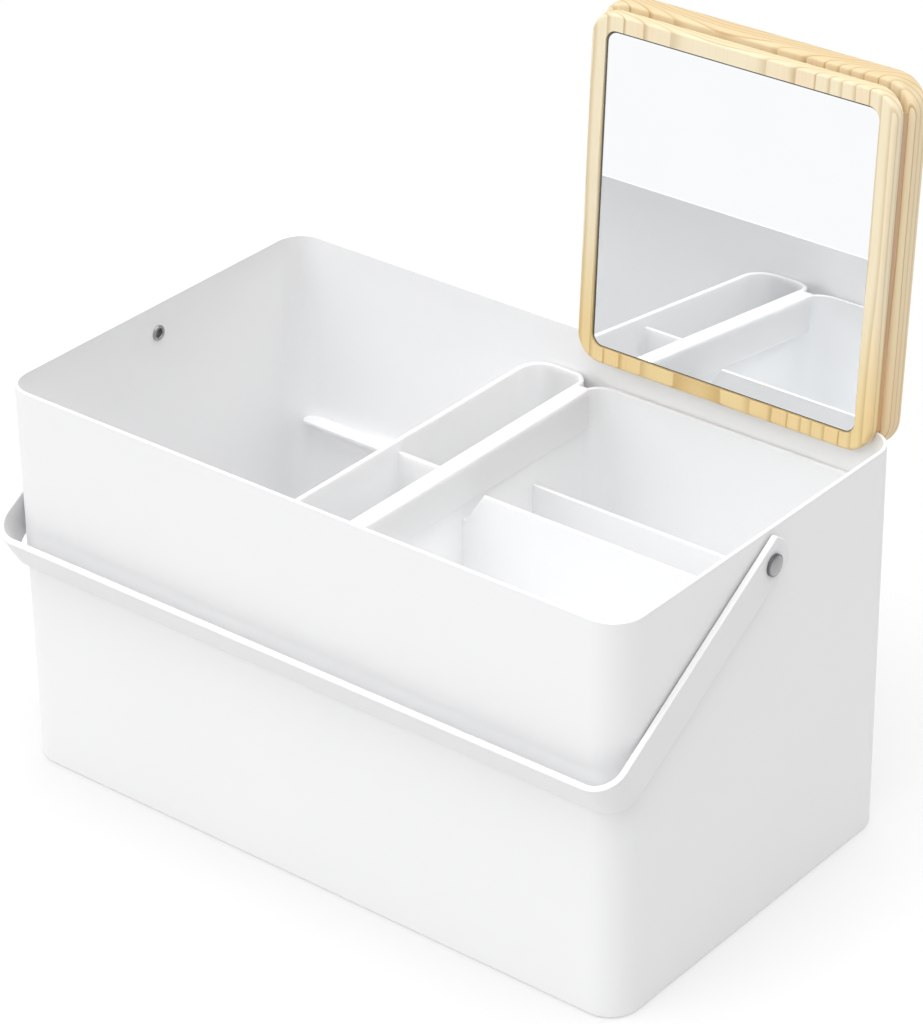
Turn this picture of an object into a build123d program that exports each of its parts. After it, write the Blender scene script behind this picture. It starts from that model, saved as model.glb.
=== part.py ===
from build123d import *
import os
from math import cos, radians, sin

# Vanity box with a standing mirror lid. Millimetres, +Z up, front towards -Y.
# The origin is the centre of the underside of the base.

# --- steel box -------------------------------------------------------------
box_width = 300.0
box_depth = 175.0
box_height = 170.0
sheet = 1.2
box_corner = 13.0
rim_round = 0.4
bottom_round = 1.0
weld_gap = 0.05
base_flange = 8.0

# --- ledges that carry the trays -------------------------------------------
ledge_top = 85.0
ledge_reach = 7.0
ledge_drop = 10.0
ledge_sheet = 1.2
ledge_end_gap = 4.5
ledge_tip = 2.3

# --- bail handle and its rivets --------------------------------------------
strip_width = 16.5
strip_thick = 2.6
strip_bend = 12.0
strip_edge = 0.5
rest_angle = 31.4
arm_tail = 9.9
tail_crown = 13.5
tail_round = 0.8
bar_stop_gap = 0.1
pivot_below_rim = 12.7
washer_thick = 0.6
washer_radius = 6.0
shank_radius = 2.4
pivot_play = 0.08
side_play = 0.1
head_radius = 4.4
head_height = 2.0
head_side = 1.0
tail_radius = 3.3
tail_height = 0.9
tail_bore = 1.9

# --- trays -----------------------------------------------------------------
tray_gap = 0.5
tray_seat_gap = 0.05
tray_wall = 1.8
tray_floor = 2.0
tray_draft = 0.8
tray_foot_round = 2.5
cavity_foot_round = 1.5
tray_rim_round = 0.5
wide_rim_drop = 20.5
wide_left = 7.0
tray_split = 1.0
narrow_width = 29.0
narrow_corner = 8.0
divider = 1.5
divider_draft = 0.4
middle_divider_drop = 10.0
rear_divider_share = 0.256
rear_divider_drop = 28.0
narrow_divider_place = -1.5
narrow_divider_drop = 5.2
notch_reach = 12.5
notch_depth = 13.5
notch_slope = 8.5

# --- lip that hooks the narrow tray over the wide one ----------------------
lip_thick = 1.5
lip_rest_gap = 0.1
lip_side_gap = 0.4
lip_flange = 1.8
lip_drop = 17.3
lip_half_length = 77.0
lip_round = 0.6

# --- wooden lid, standing on the rear wall ---------------------------------
lean = 3.8
plate_width = 138.0
plate_height = 145.0
plate_thick = 6.0
plate_corner = 11.0
plate_end_gap = 8.0
plate_wall_gap = 0.35
wood_round = 1.5
slab_margin = 2.4
slab_thick = 10.5
slab_round = 2.2
slot_depth = 8.2
seat_gap = 0.05
spacer_width = 9.0
spacer_inset = 0.6
spacer_end = 9.0

# --- mirror ----------------------------------------------------------------
frame_bar = 7.0
glass_corner = 5.0
glass_thick = 2.5
glass_gap = 0.3
glass_sunk = 0.8
pad_thick = 0.3
pad_inset = 6.0

# --- sizes worked out from the ones above ----------------------------------
inner_width = box_width - 2 * sheet
inner_depth = box_depth - 2 * sheet
inner_corner = box_corner - sheet
pivot_height = box_height - pivot_below_rim
tray_depth = inner_depth - 2 * tray_gap
tray_corner = inner_corner - tray_gap
tray_seat = ledge_top + tray_seat_gap
wide_rim = box_height - wide_rim_drop
wide_right = inner_width / 2 - tray_gap
narrow_rim = wide_rim + lip_rest_gap + lip_thick
narrow_right = wide_left - tray_split
narrow_left = narrow_right - narrow_width
rim_half = sheet / 2 * cos(radians(lean))
plate_back = -(rim_half + plate_wall_gap)
slab_front = rim_half + seat_gap + (slot_depth + slab_margin) * sin(radians(lean))
seat_height = sheet / 2 * sin(radians(lean)) + seat_gap
lid_middle = inner_width / 2 - plate_end_gap - plate_width / 2


def rounded_block(width, depth, height, radius):
    """An upright block with rounded corners, standing on Z = 0."""
    return extrude(RectangleRounded(width, depth, radius), height)


def on_edges(solid, z, radius):
    """Round the edges of a solid that lie at height z."""
    ring = [e for e in solid.edges() if abs(e.center().Z - z) < 1e-3]
    return fillet(ring, radius)


# --- box -------------------------------------------------------------------
def rivet_hole(side):
    """A drill through one side wall at the handle's pivot."""
    place = Pos(side * (box_width / 2 - sheet / 2), 0, pivot_height) * Rot(Y=90)
    return place * Cylinder(shank_radius + weld_gap, 3 * sheet)


def box_wall():
    """One strip of sheet wrapped round into a tube with rounded corners."""
    outer = rounded_block(box_width, box_depth, box_height, box_corner)
    outer = on_edges(outer, 0, bottom_round)
    outer = on_edges(outer, box_height, rim_round)
    wall = outer - rounded_block(inner_width, inner_depth, box_height, inner_corner)
    return wall - rivet_hole(-1) - rivet_hole(1)


def box_base():
    """A pan that closes the tube, with its rim turned up inside the wall."""
    width = inner_width - 2 * weld_gap
    depth = inner_depth - 2 * weld_gap
    corner = inner_corner - weld_gap
    pan = rounded_block(width, depth, sheet + base_flange, corner)
    hollow = rounded_block(width - 2 * sheet, depth - 2 * sheet, base_flange, corner - sheet)
    return on_edges(pan, 0, rim_round) - Pos(0, 0, sheet) * hollow


def ledge(side):
    """An angle welded along the front or rear wall, its shelf running on into the box's corners."""
    wall_face = inner_depth / 2
    shelf = Box(inner_width - 2 * ledge_end_gap, ledge_reach, ledge_sheet)
    shelf = Pos(0, side * (wall_face - ledge_reach / 2), ledge_top - ledge_sheet / 2) * shelf
    shelf &= rounded_block(inner_width, inner_depth, box_height, inner_corner)
    leg = Box(box_width - 2 * (box_corner + weld_gap), ledge_sheet, ledge_drop)
    leg = Pos(0, side * (wall_face - ledge_sheet / 2), ledge_top - ledge_drop / 2) * leg
    tips = [e for e in shelf.edges().filter_by(Axis.Z) if abs(e.center().Y) < wall_face - ledge_reach + 1]
    return fillet(tips, ledge_tip) + leg


# --- handle ----------------------------------------------------------------
def arm_length():
    """Distance from the pivot to the bar's inner face, with the bar on the front wall."""
    turn = radians(rest_angle)
    reach = box_depth / 2 + bar_stop_gap + strip_width / 2 * sin(turn)
    return reach / cos(turn)


def handle():
    """A flat strip bent to a U, its ends slightly crowned, turned down until its bar meets the front wall."""
    inner_half = box_width / 2 + washer_thick + 2 * side_play
    outer_half = inner_half + strip_thick
    length = arm_length() + strip_thick + arm_tail
    outer = Pos(0, arm_tail - length / 2, 0) * Box(2 * outer_half, length, strip_width)
    bends = outer.edges().filter_by(Axis.Z).sort_by(Axis.Y)[:2]
    outer = fillet(bends, strip_bend)
    ahead = Pos(0, -length, 0) * Box(3 * outer_half, 2 * length, 2 * tail_crown)
    crown = Rot(Y=90) * Cylinder(tail_crown, 3 * outer_half)
    outer &= Pos(0, arm_tail - tail_crown, 0) * (ahead + crown)
    tips = outer.edges().filter_by(Axis.X).sort_by(Axis.Y)[-2:]
    outer = fillet(tips, tail_round)
    inner_length = 2 * length
    front = strip_thick + arm_tail - length
    inner = Pos(0, front + inner_length / 2, 0) * Box(2 * inner_half, inner_length, 2 * strip_width)
    bends = inner.edges().filter_by(Axis.Z).sort_by(Axis.Y)[:2]
    inner = fillet(bends, strip_bend - strip_thick)
    strip = outer - inner
    long_sides = [e for e in strip.edges() if abs(abs(e.center().Z) - strip_width / 2) < 1e-3]
    strip = fillet(long_sides, strip_edge)
    strip -= Rot(Y=90) * Cylinder(shank_radius + pivot_play, 3 * outer_half)
    return Pos(0, 0, pivot_height) * Rot(X=rest_angle) * strip


def rivet(side):
    """A pan-headed rivet through strip, washer and wall, its hollow tail rolled over inside."""
    head_seat = box_width / 2 + washer_thick + strip_thick + 3 * side_play
    wall_face = box_width / 2 - sheet
    rise = head_height - head_side
    dome = (head_radius ** 2 + rise ** 2) / (2 * rise)
    with BuildSketch(Plane.XZ) as half:
        with BuildLine():
            RadiusArc((head_seat + head_height, 0), (head_seat + head_side, head_radius), -dome)
            Polyline((head_seat + head_side, head_radius), (head_seat, head_radius),
                     (head_seat, shank_radius), (wall_face, shank_radius), (wall_face, tail_radius))
            ThreePointArc((wall_face, tail_radius), (wall_face - tail_height, (tail_radius + tail_bore) / 2),
                          (wall_face, tail_bore))
            Polyline((wall_face, tail_bore), (wall_face + sheet, tail_bore),
                     (wall_face + sheet, 0), (head_seat + head_height, 0))
        make_face()
    body = revolve(half.sketch, Axis.X)
    if side < 0:
        body = mirror(body, about=Plane.YZ)
    return Pos(0, 0, pivot_height) * body


def washer(side):
    """A flat ring that keeps the strip off the painted wall."""
    ring = Cylinder(washer_radius, washer_thick) - Cylinder(shank_radius + pivot_play, 2 * washer_thick)
    middle = box_width / 2 + side_play + washer_thick / 2
    return Pos(side * middle, 0, pivot_height) * Rot(Y=90) * ring


# --- trays -----------------------------------------------------------------
def tray_plan(left, right, inset, left_corner, right_corner):
    """The plan of a tray at its rim, or of the cavity set in from it."""
    plan = Rectangle(right - left - 2 * inset, tray_depth - 2 * inset)
    plan = fillet(plan.vertices().sort_by(Axis.X)[:2], left_corner - inset)
    plan = fillet(plan.vertices().sort_by(Axis.X)[-2:], right_corner - inset)
    return Pos((left + right) / 2, 0) * plan


def drafted(plan, top, bottom, foot):
    """A block drawn down from its rim with moulding draft and a rounded foot."""
    block = extrude(Pos(0, 0, top) * plan, top - bottom, dir=(0, 0, -1), taper=tray_draft)
    return on_edges(block, bottom, foot)


def tray_shell(left, right, rim, left_corner, right_corner):
    """An open tray, and the cavity that its dividers are trimmed to."""
    outside = tray_plan(left, right, 0, left_corner, right_corner)
    inside = tray_plan(left, right, tray_wall, left_corner, right_corner)
    cavity = drafted(inside, rim, tray_seat + tray_floor, cavity_foot_round)
    shell = drafted(outside, rim, tray_seat, tray_foot_round) - cavity
    return on_edges(shell, rim, tray_rim_round), cavity


def cross_wall(cavity, place, top):
    """A moulded divider across a cavity, a little thicker towards the floor."""
    bounds = cavity.bounding_box()
    plan = Pos(bounds.center().X, place) * Rectangle(bounds.size.X + tray_wall, divider)
    depth = top - tray_seat
    return extrude(Pos(0, 0, top) * plan, depth, dir=(0, 0, -1), taper=-divider_draft) & cavity


def lip_notch(top):
    """The slope cut from the middle divider's left end, clear of the hanging lip."""
    foot = wide_left + notch_reach - notch_slope
    with BuildSketch(Plane.XZ) as side:
        with BuildLine():
            Polyline((0, top + divider), (wide_left + notch_reach, top + divider),
                     (wide_left + notch_reach, top), (foot, top - notch_depth),
                     (0, top - notch_depth), close=True)
        make_face()
    return extrude(side.sketch, 2 * divider, both=True)


def wide_tray():
    """The wide tray, with a tall divider at mid depth and a low one behind it."""
    shell, cavity = tray_shell(wide_left, wide_right, wide_rim, tray_corner, tray_corner)
    middle_top = wide_rim - middle_divider_drop
    middle = cross_wall(cavity, 0, middle_top) - lip_notch(middle_top)
    rear = cross_wall(cavity, rear_divider_share * tray_depth, wide_rim - rear_divider_drop)
    return shell + middle + rear


def hooked_lip():
    """The lip of the narrow tray, over the wide one's wall and down inside it."""
    wall_inside = wide_left + tray_wall + lip_drop * sin(radians(tray_draft))
    flange_inside = wall_inside + lip_side_gap
    flange_outside = flange_inside + lip_flange
    root = narrow_right - tray_wall / 2
    with BuildSketch(Plane.XZ) as section:
        with BuildLine():
            Polyline((root, narrow_rim), (flange_outside, narrow_rim),
                     (flange_outside, narrow_rim - lip_drop), (flange_inside, narrow_rim - lip_drop),
                     (flange_inside, narrow_rim - lip_thick), (root, narrow_rim - lip_thick), close=True)
        make_face()
    lip = extrude(section.sketch, lip_half_length, both=True)
    rounded = [e for e in lip.edges().filter_by(Axis.Y) if e.center().X > flange_inside + lip_round]
    return fillet(rounded, lip_round)


def narrow_tray():
    """The narrow tray with its one divider, hung on the wide tray's wall."""
    shell, cavity = tray_shell(narrow_left, narrow_right, narrow_rim, tray_corner, narrow_corner)
    middle = cross_wall(cavity, narrow_divider_place, narrow_rim - narrow_divider_drop)
    return shell + middle + hooked_lip()


# --- lid -------------------------------------------------------------------
# The lid is laid out upright, from the middle of the rear wall's rim, with Y
# through its thickness, and is then leaned back.
def lean_back(solid):
    """Stand a piece of the lid on the rear wall's rim."""
    return Pos(0, box_depth / 2 - sheet / 2, box_height) * Rot(X=-lean) * solid


def board(width, height, thick, radius, front, middle, bottom):
    """An upright board with rounded corners, its front face at the given Y."""
    face = RectangleRounded(width, height, radius)
    place = Pos(middle, front + thick, bottom + height / 2) * Rot(X=90)
    return place * extrude(face, thick)


def long_edges(solid, front, back):
    """The outline edges on a board's two faces."""
    return [e for e in solid.edges() if min(abs(e.center().Y - front), abs(e.center().Y - back)) < 1e-3]


def lid_slab():
    """The thick board that covers half of the box when the lid is closed."""
    width = plate_width + 2 * slab_margin
    height = plate_height + 2 * slab_margin
    bottom = -slot_depth - slab_margin
    slab = board(width, height, slab_thick, plate_corner + slab_margin, slab_front, lid_middle, bottom)
    slab = fillet(long_edges(slab, slab_front, slab_front + slab_thick), slab_round)
    return lean_back(slab)


def lid_spacer(side):
    """A strip that holds the mirror plate off the slab and sits on the rim."""
    gap = slab_front - plate_back
    top = plate_height - slot_depth - spacer_end
    strip = Box(spacer_width, gap, top - seat_height)
    x = lid_middle + side * (plate_width / 2 - spacer_inset - spacer_width / 2)
    return lean_back(Pos(x, plate_back + gap / 2, (top + seat_height) / 2) * strip)


def mirror_plate():
    """The thin board with the recess for the mirror."""
    front = plate_back - plate_thick
    plate = board(plate_width, plate_height, plate_thick, plate_corner, front, lid_middle, -slot_depth)
    plate = fillet(long_edges(plate, front, plate_back), wood_round)
    depth = glass_sunk + glass_thick + pad_thick
    recess = board(plate_width - 2 * frame_bar, plate_height - 2 * frame_bar, depth, glass_corner,
                   front, lid_middle, frame_bar - slot_depth)
    return lean_back(plate - recess)


def mirror_glass():
    """The mirror, sunk a little below the face of its plate."""
    inset = frame_bar + glass_gap
    front = plate_back - plate_thick + glass_sunk
    glass = board(plate_width - 2 * inset, plate_height - 2 * inset, glass_thick,
                  glass_corner - glass_gap, front, lid_middle, inset - slot_depth)
    return lean_back(glass)


def mirror_pad():
    """The thin adhesive sheet behind the mirror."""
    inset = frame_bar + pad_inset
    front = plate_back - plate_thick + glass_sunk + glass_thick
    pad = board(plate_width - 2 * inset, plate_height - 2 * inset, pad_thick,
                glass_corner, front, lid_middle, inset - slot_depth)
    return lean_back(pad)


nodes = {
    "box_wall": box_wall(),
    "box_base": box_base(),
    "front_ledge": ledge(-1),
    "rear_ledge": ledge(1),
    "handle": handle(),
    "left_rivet": rivet(-1),
    "right_rivet": rivet(1),
    "left_washer": washer(-1),
    "right_washer": washer(1),
    "wide_tray": wide_tray(),
    "narrow_tray": narrow_tray(),
    "lid_slab": lid_slab(),
    "left_spacer": lid_spacer(-1),
    "right_spacer": lid_spacer(1),
    "mirror_plate": mirror_plate(),
    "mirror_glass": mirror_glass(),
    "mirror_pad": mirror_pad(),
}

os.makedirs("parts", exist_ok=True)
for name, solid in nodes.items():
    export_step(solid, f"parts/{name}.step")
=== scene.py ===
from math import cos, radians, sin

import bpy
from mathutils import Matrix, Vector

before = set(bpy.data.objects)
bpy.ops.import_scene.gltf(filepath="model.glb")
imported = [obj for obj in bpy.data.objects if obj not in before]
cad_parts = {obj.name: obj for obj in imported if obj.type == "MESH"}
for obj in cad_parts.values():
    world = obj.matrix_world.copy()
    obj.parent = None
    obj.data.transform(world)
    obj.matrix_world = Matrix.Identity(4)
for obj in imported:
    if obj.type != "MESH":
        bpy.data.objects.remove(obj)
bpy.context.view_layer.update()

# --- The photograph's view ---------------------------------------------------
# A long lens looks down on the open box from its front right corner, with the
# camera rolled by less than a degree. Metres, with the sensor in millimetres.
azimuth, elevation, roll = radians(39.26), radians(29.71), radians(0.8)
view_centre, view_distance = Vector((0.0097, -0.0019, 0.130)), 1.4892
focal_pixels, picture_height, sensor = 3870, 1024, 36
nearest, farthest = 0.05, 60

away = Vector((sin(azimuth) * cos(elevation), -cos(azimuth) * cos(elevation), sin(elevation)))
across = (-away).cross(Vector((0, 0, 1))).normalized()
upward = away.cross(across)
right = cos(roll) * across - sin(roll) * upward
upright = sin(roll) * across + cos(roll) * upward
lens = bpy.data.cameras.new("camera")
lens.sensor_fit, lens.sensor_height = "VERTICAL", sensor
lens.lens = focal_pixels / picture_height * sensor
lens.clip_start, lens.clip_end = nearest, farthest
camera = bpy.data.objects.new("camera", lens)
bpy.context.scene.collection.objects.link(camera)
turn = Matrix((right, upright, away)).transposed().to_4x4()
camera.matrix_world = Matrix.Translation(view_centre + view_distance * away) @ turn
bpy.context.scene.camera = camera


# --- Studio ------------------------------------------------------------------
# A plain pale sweep under round soft lights: one overhead, one high up on each side,
# with the front one the strongest, and a low one at the front left. The sweep glows
# a little, most of all round the box.
class Layer:
    """One socket of a finish or of the tent. Arithmetic on layers and numbers adds Math nodes beside it."""

    def __init__(self, tree, socket):
        self.tree, self.socket = tree, socket

    def node(self, kind, settings=None, values=None, output=0):
        """Add a node to the same tree: its settings first, then a value or a layer for each socket."""
        made = self.tree.nodes.new("ShaderNode" + kind)
        for name, value in (settings or {}).items():
            setattr(made, name, value)
        for name, value in (values or {}).items():
            if isinstance(value, Layer):
                self.tree.links.new(value.socket, made.inputs[name])
            else:
                made.inputs[name].default_value = value
        return Layer(self.tree, made.outputs[output])

    def math(self, operation, *others):
        """A Math node on this layer and on others, each a number or a layer."""
        return self.node("Math", {"operation": operation}, dict(enumerate((self, *others))))

    def vector(self, operation, *others, output=0):
        """A Vector Math node on this layer and on others, each a triple of numbers or a layer."""
        return self.node("VectorMath", {"operation": operation}, dict(enumerate((self, *others))), output)

    def __add__(self, other):
        return self.math("ADD", other)

    def __sub__(self, other):
        return self.math("SUBTRACT", other)

    def __rsub__(self, other):
        return self.node("Math", {"operation": "SUBTRACT"}, {0: other, 1: self})

    def __mul__(self, other):
        return self.math("MULTIPLY", other)

    def __truediv__(self, other):
        return self.math("DIVIDE", other)

    def __abs__(self):
        return self.math("ABSOLUTE")

    __radd__, __rmul__ = __add__, __mul__


def step(value, low, high):
    """Ramp a value from 0 at low to 1 at high, smoothly."""
    return value.node("MapRange", {"interpolation_type": "SMOOTHSTEP"},
                      {"Value": value, "From Min": low, "From Max": high})


def facing(direction, way):
    """How far a direction points a way: 1 along it, 0 across it."""
    return direction.vector("DOT_PRODUCT", Vector(way).normalized(), output="Value")


def length(vector):
    """How long a vector is."""
    return vector.vector("LENGTH", output="Value")


overhead, overhead_rim, overhead_power = (0, 0, 1), (0.82, 0.94), 2.41
panel_rim = (0.75, 0.95)
panels = {(0, -1, 1.1): 1.67, (-1, -1, 0.35): 0.92, (-1, 0, 1.1): 0.74, (0, 1, 1.1): 1.15, (1, 0, 1.1): 1.05}
white_light = (1, 1, 1, 1)

bpy.context.scene.view_settings.view_transform = "Standard"
tent = bpy.data.worlds.new("light_tent")
bpy.context.scene.world = tent
tent.use_nodes = True
lit = tent.node_tree.nodes["Background"]
direction = Layer(tent.node_tree, lit.outputs[0]).node("TexCoord", output="Generated")
glow = overhead_power * step(facing(direction, overhead), *overhead_rim)
for way, power in panels.items():
    glow = glow + power * step(facing(direction, way), *panel_rim)
tent.node_tree.links.new(glow.socket, lit.inputs["Strength"])
lit.inputs["Color"].default_value = white_light

floor_half, floor_drop, floor_white, floor_rough = 9.0, 0.0004, 0.45, 0.95
floor_glow, glow_loss, glow_edge = 0.365, 0.075, (0.2, 0.45)

floor_mesh = bpy.data.meshes.new("floor")
floor_corners = [(x * floor_half, y * floor_half, -floor_drop)
                 for x, y in ((-1, -1), (1, -1), (1, 1), (-1, 1))]
floor_mesh.from_pydata(floor_corners, [], [(0, 1, 2, 3)])
floor = bpy.data.objects.new("floor", floor_mesh)
bpy.context.scene.collection.objects.link(floor)
sweep = bpy.data.materials.new("white_sweep")
sweep.use_nodes = True
paint = sweep.node_tree.nodes["Principled BSDF"]
paint.inputs["Base Color"].default_value = (floor_white, floor_white, floor_white, 1)
paint.inputs["Roughness"].default_value = floor_rough
paint.inputs["Emission Color"].default_value = white_light
spot = length(Layer(sweep.node_tree, paint.outputs[0]).node("TexCoord", output="Object"))
fading = floor_glow - glow_loss * step(spot, *glow_edge)
sweep.node_tree.links.new(fading.socket, paint.inputs["Emission Strength"])
floor_mesh.materials.append(sweep)

# --- Steel box ---------------------------------------------------------------
# The box wall is one strip of sheet steel, wrapped round and welded. A pan with
# a turned-up rim closes its foot, and an angle along the front wall and one along
# the rear wall carry the trays. All of it is powder coated in satin white.
box_half, box_corner, sheet = (0.150, 0.0875, 1.0), 0.013, 0.0012
coat_white, coat_shade, coat_edge_highlight = (0.955, 0.958, 0.962), (0.945, 0.949, 0.955), (0.965, 0.965, 0.965)
outer_painted_shade = (0.885, 0.885, 0.885)
coat_reach, peel_depth = 0.0012, 0.00004
cloud_cells, peel_cells, grit_cells = 9, 620, 2600
cloud_span = (0.3, 0.7)
edge_rays, edge_cells, edge_bend, edge_span = 4, 160, (0.02, 0.2), (0.25, 0.75)


def new_finish(name, fixed):
    """A material whose shader has its fixed values set, and the layer of the piece's own coordinates."""
    finish = bpy.data.materials.new(name)
    finish.use_nodes = True
    shader = finish.node_tree.nodes["Principled BSDF"]
    for socket, value in fixed.items():
        shader.inputs[socket].default_value = value
    return finish, Layer(finish.node_tree, shader.outputs[0]).node("TexCoord", output="Object")


def feed(finish, layers):
    """Lead layers to the shader's sockets."""
    shader = finish.node_tree.nodes["Principled BSDF"]
    for socket, layer in layers.items():
        finish.node_tree.links.new(layer.socket, shader.inputs[socket])


def dress(finish, *pieces):
    """Give a finish to pieces of the object."""
    for piece in pieces:
        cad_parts[piece].material_slots[0].material = finish


def noise(place, cells, detail, output="Fac"):
    """Soft random cloud with so many cells to the metre."""
    return place.node("TexNoise", {}, {"Vector": place, "Scale": cells, "Detail": detail}, output)


def blend(amount, first, second):
    """Mix two colours, each a triple of numbers or a layer."""
    first, second = ((*colour, 1) if isinstance(colour, tuple) else colour for colour in (first, second))
    return amount.node("Mix", {"data_type": "RGBA"}, {0: amount, 6: first, 7: second}, 2)


def scaled(vector, factors):
    """A vector or a colour with each of its three parts scaled."""
    return vector.vector("MULTIPLY", factors)


def worn_and_highlit_edges(place, reach):
    """1 along the sharp edges of a piece, fading out over a reach in metres, broken up along its length."""
    soft = place.node("Bevel", {"samples": edge_rays}, {"Radius": reach})
    flat = place.node("NewGeometry", output="Normal")
    bend = 1 - soft.vector("DOT_PRODUCT", flat, output="Value")
    return step(bend, *edge_bend) * step(noise(place, edge_cells, 3), *edge_span)


def bumps(height, depth, strength=1.0):
    """The normal of a surface whose height layer runs over a depth in metres."""
    return height.node("Bump", {}, {"Height": height, "Distance": depth, "Strength": strength})


def from_core(place, half, corner):
    """Distance from the core of a rounded block, which is the block less its corner radius all round.
    A half size of 1 stands for a block with no end that way."""
    core = Vector(half) - Vector((corner, corner, corner))
    return length(place.vector("ABSOLUTE").vector("SUBTRACT", core).vector("MAXIMUM", (0, 0, 0)))


def powder_coat(name, white, shade, edge_highlight, toned=None):
    """Baked powder: faint clouds, orange peel over a millimetre across, and edges that wear smoother and are
    painted paler as a highlight.
    toned, where given, changes the colour by the place on the piece."""
    finish, place = new_finish(name, {"IOR": 1.5})
    cloud, peel, grit = noise(place, cloud_cells, 3), noise(place, peel_cells, 2), noise(place, grit_cells, 1)
    edge = worn_and_highlit_edges(place, coat_reach)
    # Edges are painted paler as a painted highlight.
    colour = blend(edge * 0.5, blend(step(cloud, *cloud_span), white, shade), edge_highlight)
    if toned:
        colour = toned(place, colour)
    feed(finish, {"Base Color": colour, "Roughness": 0.46 + 0.08 * cloud + 0.05 * grit - 0.12 * edge,
                  "Normal": bumps(peel + 0.3 * grit, peel_depth, strength=0.6)})
    return finish


def outside_painted_shade(place, colour):
    """A colour darkened as painted shade through the sheet of the wall, towards its outer face."""
    outside = step(from_core(place, box_half, box_corner), box_corner - 0.7 * sheet, box_corner - 0.5 * sheet)
    return blend(outside, colour, scaled(colour, outer_painted_shade))


# The wall's outer face is painted darker than its inner face, as painted shade.
box_coat = powder_coat("box_coat", coat_white, coat_shade, coat_edge_highlight, outside_painted_shade)
dress(box_coat, "box_wall", "box_base", "front_ledge", "rear_ledge")

# --- Handle ------------------------------------------------------------------
# A flat steel strip bent to a U, with crowned ends. Its coat is like the box's,
# but darkened as painted shade, and paler along the edges as a painted highlight.
# The handle's white is darkened as painted shade, for the dimmer light on its down-facing faces.
handle_painted_dark, handle_cloud_painted_dark, handle_edge_highlight = (0.80, 0.802, 0.806), (0.788, 0.79, 0.794), (0.86, 0.86, 0.86)

dress(powder_coat("handle_coat", handle_painted_dark, handle_cloud_painted_dark, handle_edge_highlight), "handle")

# --- Washers and rivets ------------------------------------------------------
# A white nylon washer keeps each arm off the wall. The rivet is plain steel with
# a pan head outside and a hollow tail that is rolled over on the inside.
nylon_pale, nylon_dull = (0.70, 0.70, 0.69), (0.62, 0.62, 0.61)
nylon_cells, nylon_depth = 420, 0.00003
pivot, head_rim = (0, 0, 0.1573), (0.0035, 0.0044)
steel_pale, steel_dull, rim_painted_shade = (0.46, 0.46, 0.47), (0.36, 0.36, 0.37), (0.20, 0.20, 0.21)
turned_cells, tarnish_cells, turned_depth = 3200, 500, 0.00003


def on_radius(radius, cells, detail):
    """Noise that changes only with the distance from an axis."""
    return noise(radius.node("CombineXYZ", {}, {"X": radius}), cells, detail)


washer_nylon, place = new_finish("washer_nylon", {"IOR": 1.53})
flow = noise(place, nylon_cells, 3)
feed(washer_nylon, {"Base Color": blend(flow, nylon_pale, nylon_dull), "Roughness": 0.42 + 0.2 * flow,
                    "Normal": bumps(flow, nylon_depth)})
dress(washer_nylon, "left_washer", "right_washer")

rivet_steel, place = new_finish("rivet_steel", {"Metallic": 1.0})
radius = length(scaled(place.vector("SUBTRACT", pivot), (0, 1, 1)))
turned, tarnish = on_radius(radius, turned_cells, 2), noise(place, tarnish_cells, 3)
brushed = blend(tarnish, steel_pale, steel_dull)
# A dark ring of painted shade round the rim of each rivet head.
feed(rivet_steel, {"Base Color": blend(step(radius, *head_rim), brushed, rim_painted_shade),
                   "Roughness": 0.26 + 0.16 * turned + 0.1 * tarnish,
                   "Normal": bumps(turned, turned_depth, strength=0.7)})
dress(rivet_steel, "left_rivet", "right_rivet")

# --- Trays -------------------------------------------------------------------
# Two open trays moulded in satin white plastic, walls drafted and dividers moulded
# in. The narrow one hangs by its lip on the wide one's wall. Both are the same
# plastic, but the narrow one is given translucency as painted light, to brighten it.
tray_white, tray_shade, tray_edge_highlight = (0.91, 0.915, 0.92), (0.898, 0.904, 0.91), (0.945, 0.95, 0.955)
tray_reach, spark_depth, light_depth = 0.001, 0.00002, 0.004
flow_cells, spark_cells = 14, 1900


def moulding(name, light_share):
    """Satin plastic with a fine sparked texture, faint flow clouds and edges painted paler as a highlight,
    which lets a share of the light in.
    """
    finish, place = new_finish(name, {"IOR": 1.49, "Subsurface Weight": light_share,
                                      "Subsurface Scale": light_depth, "Subsurface Radius": (1, 1, 1)})
    flow, spark = noise(place, flow_cells, 4), noise(place, spark_cells, 2)
    edge = worn_and_highlit_edges(place, tray_reach)
    # Edges are painted paler as a painted highlight.
    colour = blend(edge * 0.6, blend(step(flow, *cloud_span), tray_white, tray_shade), tray_edge_highlight)
    feed(finish, {"Base Color": colour, "Roughness": 0.38 + 0.1 * flow + 0.06 * spark - 0.08 * edge,
                  "Normal": bumps(spark, spark_depth, strength=0.6)})
    return finish


dress(moulding("wide_tray_plastic", 0.0), "wide_tray")
# The narrow tray's translucency is painted light: a lit copy of the wide tray's plastic.
dress(moulding("narrow_tray_lit_plastic", 1.0), "narrow_tray")

# --- Wooden lid --------------------------------------------------------------
# A thick and a thin board of pale sanded pine, with a strip of darker wood at each
# side between them. The gap between the strips stands astride the rear wall.
lean, rim_middle = radians(3.8), (0, 0.0869, 0.170)
slab_heart, plate_heart, strip_heart = (0.0574, 0.218, 0.170), (0.0600, 0.210, 0.170), (0.30, 0.16, 0.170)
board_ring, strip_ring = 0.00235, 0.0022
waver_size, foot_height, grain_depth = (0.005, 0.005, 0), 0.06, 0.00004
waver_cells, stain_cells, fibre_cells, drift_cells, streak_cells = 16, 40, 2400, 130, 900
waver_share, stain_share, fibre_share = 0.25, 0.12, 0.02
stain_span, streak_span, fibre_span, end_span = (0.25, 0.60), (0.45, 0.75), (0.5, 0.85), (0.5, 0.9)
ring_drift, late_start, late_spread, late_full, late_end = 1.1, 0.35, 0.45, 0.94, 0.955


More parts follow.
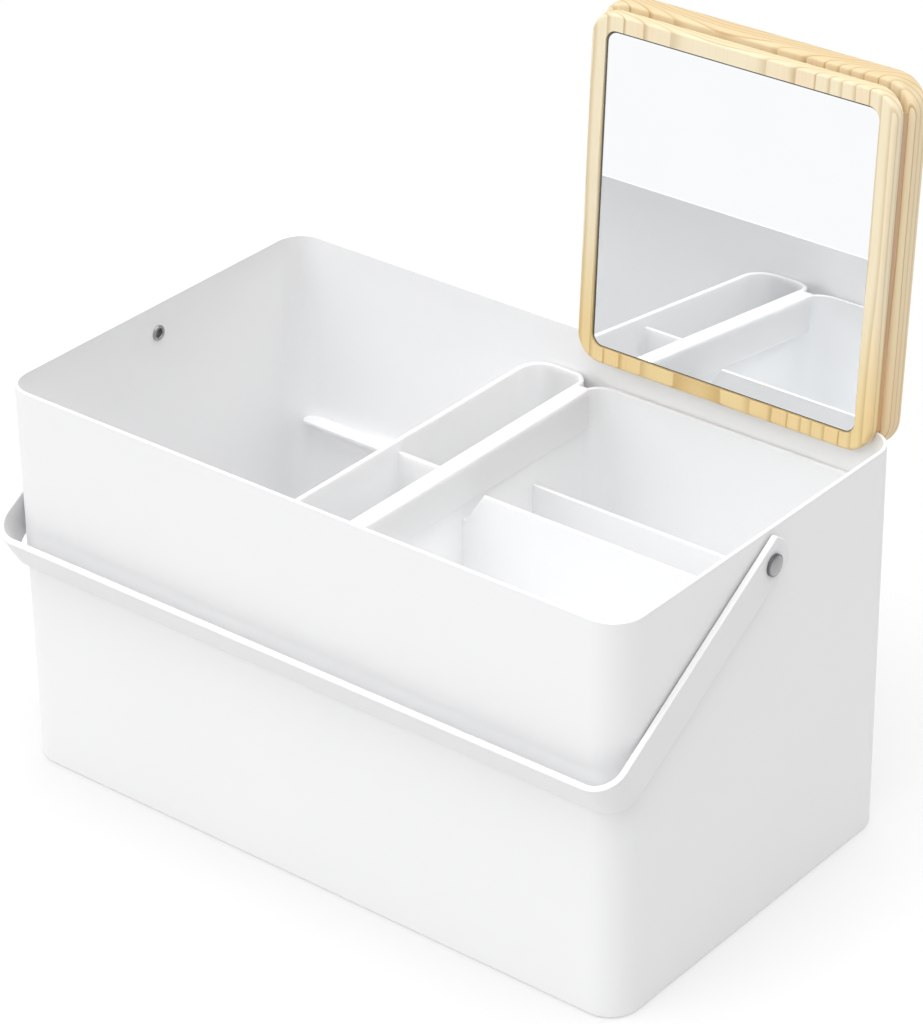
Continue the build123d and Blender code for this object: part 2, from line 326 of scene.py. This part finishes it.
def along_board(place):
    """The piece's coordinates with the lean taken out, so that Z runs up the boards."""
    return place.node("VectorRotate", {"rotation_type": "X_AXIS"},
                      {"Vector": place, "Center": rim_middle, "Angle": lean})


def grain(board, cells, share, detail, output="Fac"):
    """Noise with so many cells to the metre across the board, and only a share of them up the board."""
    return noise(scaled(board, (1, 1, share)), cells, detail, output)


def pine(name, heart, ring, early, warm, late, foot=(1, 0.88, 0.62), end=(0.82, 0.80, 0.74)):
    """Sawn pine: growth rings of a width round a heart behind the board, each with a tint of its own and
    darker towards its outer side. foot tones the lower end of the board, and end its end grain."""
    finish, place = new_finish(name, {"IOR": 1.45})
    board = along_board(place).vector("SUBTRACT", heart)
    waver = grain(board, waver_cells, waver_share, 2, "Color").vector("SUBTRACT", (0.5, 0.5, 0.5))
    radius = length(scaled(board.vector("ADD", scaled(waver, waver_size)), (1, 1, 0)))
    age = radius / ring + ring_drift * on_radius(radius, drift_cells, 1)
    growth = age.math("FRACT")
    tint = age.node("TexWhiteNoise", {"noise_dimensions": "1D"}, {"W": age.math("FLOOR")}, "Value")
    line = step(growth, late_start + late_spread * tint, late_full) * (1 - step(growth, late_end, 1.0))
    stain, fibre = grain(board, stain_cells, stain_share, 3), grain(board, fibre_cells, fibre_share, 2)
    streak = step(on_radius(radius, streak_cells, 2), *streak_span)
    colour = blend(0.65 * tint * step(stain, *stain_span) + 0.4 * streak, early, warm)
    colour = blend(line * line * (0.45 + 0.5 * tint), colour, late)
    colour = blend(step(fibre, *fibre_span) * 0.16, colour, late)
    height = board.node("SeparateXYZ", {}, {0: board}, "Z")
    colour = blend(1 - step(height, 0.0, foot_height), colour, scaled(colour, foot))
    rise = facing(place.node("TexCoord", output="Normal"), (0, 0, 1))
    colour = blend(step(abs(rise), *end_span), colour, scaled(colour, end))
    feed(finish, {"Base Color": colour, "Roughness": 0.52 + 0.1 * fibre - 0.06 * line,
                  "Normal": bumps(0.25 * line + 0.5 * fibre, grain_depth, strength=0.6)})
    return finish


slab_pine = pine("slab_pine", slab_heart, board_ring, early=(0.84, 0.70, 0.47), warm=(0.82, 0.64, 0.39),
                 late=(0.52, 0.35, 0.15), foot=(0.97, 0.91, 0.84), end=(0.79, 0.76, 0.69))
plate_pine = pine("plate_pine", plate_heart, board_ring, early=(0.875, 0.775, 0.56), warm=(0.875, 0.70, 0.48),
                  late=(0.55, 0.39, 0.17))
strip_wood = pine("strip_wood", strip_heart, strip_ring, early=(0.70, 0.50, 0.37), warm=(0.64, 0.44, 0.31),
                  late=(0.48, 0.31, 0.19))
dress(slab_pine, "lid_slab")
dress(plate_pine, "mirror_plate")
dress(strip_wood, "left_spacer", "right_spacer")

# --- Mirror ------------------------------------------------------------------
# Silvered glass sunk into the thin board, on a sheet of dark adhesive foam. The
# silver stops just short of the glass's edge, where a thin dark line of painted
# shade stands for the shadow in the gap round the glass.
glass_middle, glass_half, glass_corner = (0.0720, 0.0793, 0.2342), (0.0617, 1, 0.0652), 0.0047
shade_line_width, silver_blur, smear_cells = 0.0004, 0.0001, 40
silver, silver_haze, painted_gap_shade = (0.94, 0.952, 0.964), (0.925, 0.938, 0.951), (0.10, 0.09, 0.08)
foam_dark, foam_pale = (0.05, 0.05, 0.05), (0.10, 0.10, 0.10)
pore_cells, pore_depth = 1500, 0.0001

glass, place = new_finish("glass", {"IOR": 1.5})
reach = from_core(along_board(place).vector("SUBTRACT", glass_middle), glass_half, glass_corner)
silver_end = glass_corner - shade_line_width
# A thin line of painted shade runs round the glass's edge, outside the silver.
silver_inside_shade_line = 1 - step(reach, silver_end - silver_blur, silver_end + silver_blur)
smear = noise(place, smear_cells, 4)
feed(glass, {"Base Color": blend(silver_inside_shade_line, painted_gap_shade, blend(smear, silver, silver_haze)),
             "Metallic": silver_inside_shade_line, "Roughness": 0.008 + 0.015 * smear})
dress(glass, "mirror_glass")

pad_foam, place = new_finish("pad_foam", {})
pores = noise(place, pore_cells, 2)
feed(pad_foam, {"Base Color": blend(pores, foam_dark, foam_pale), "Roughness": 0.8 + 0.15 * pores,
                "Normal": bumps(pores, pore_depth)})
dress(pad_foam, "mirror_pad")
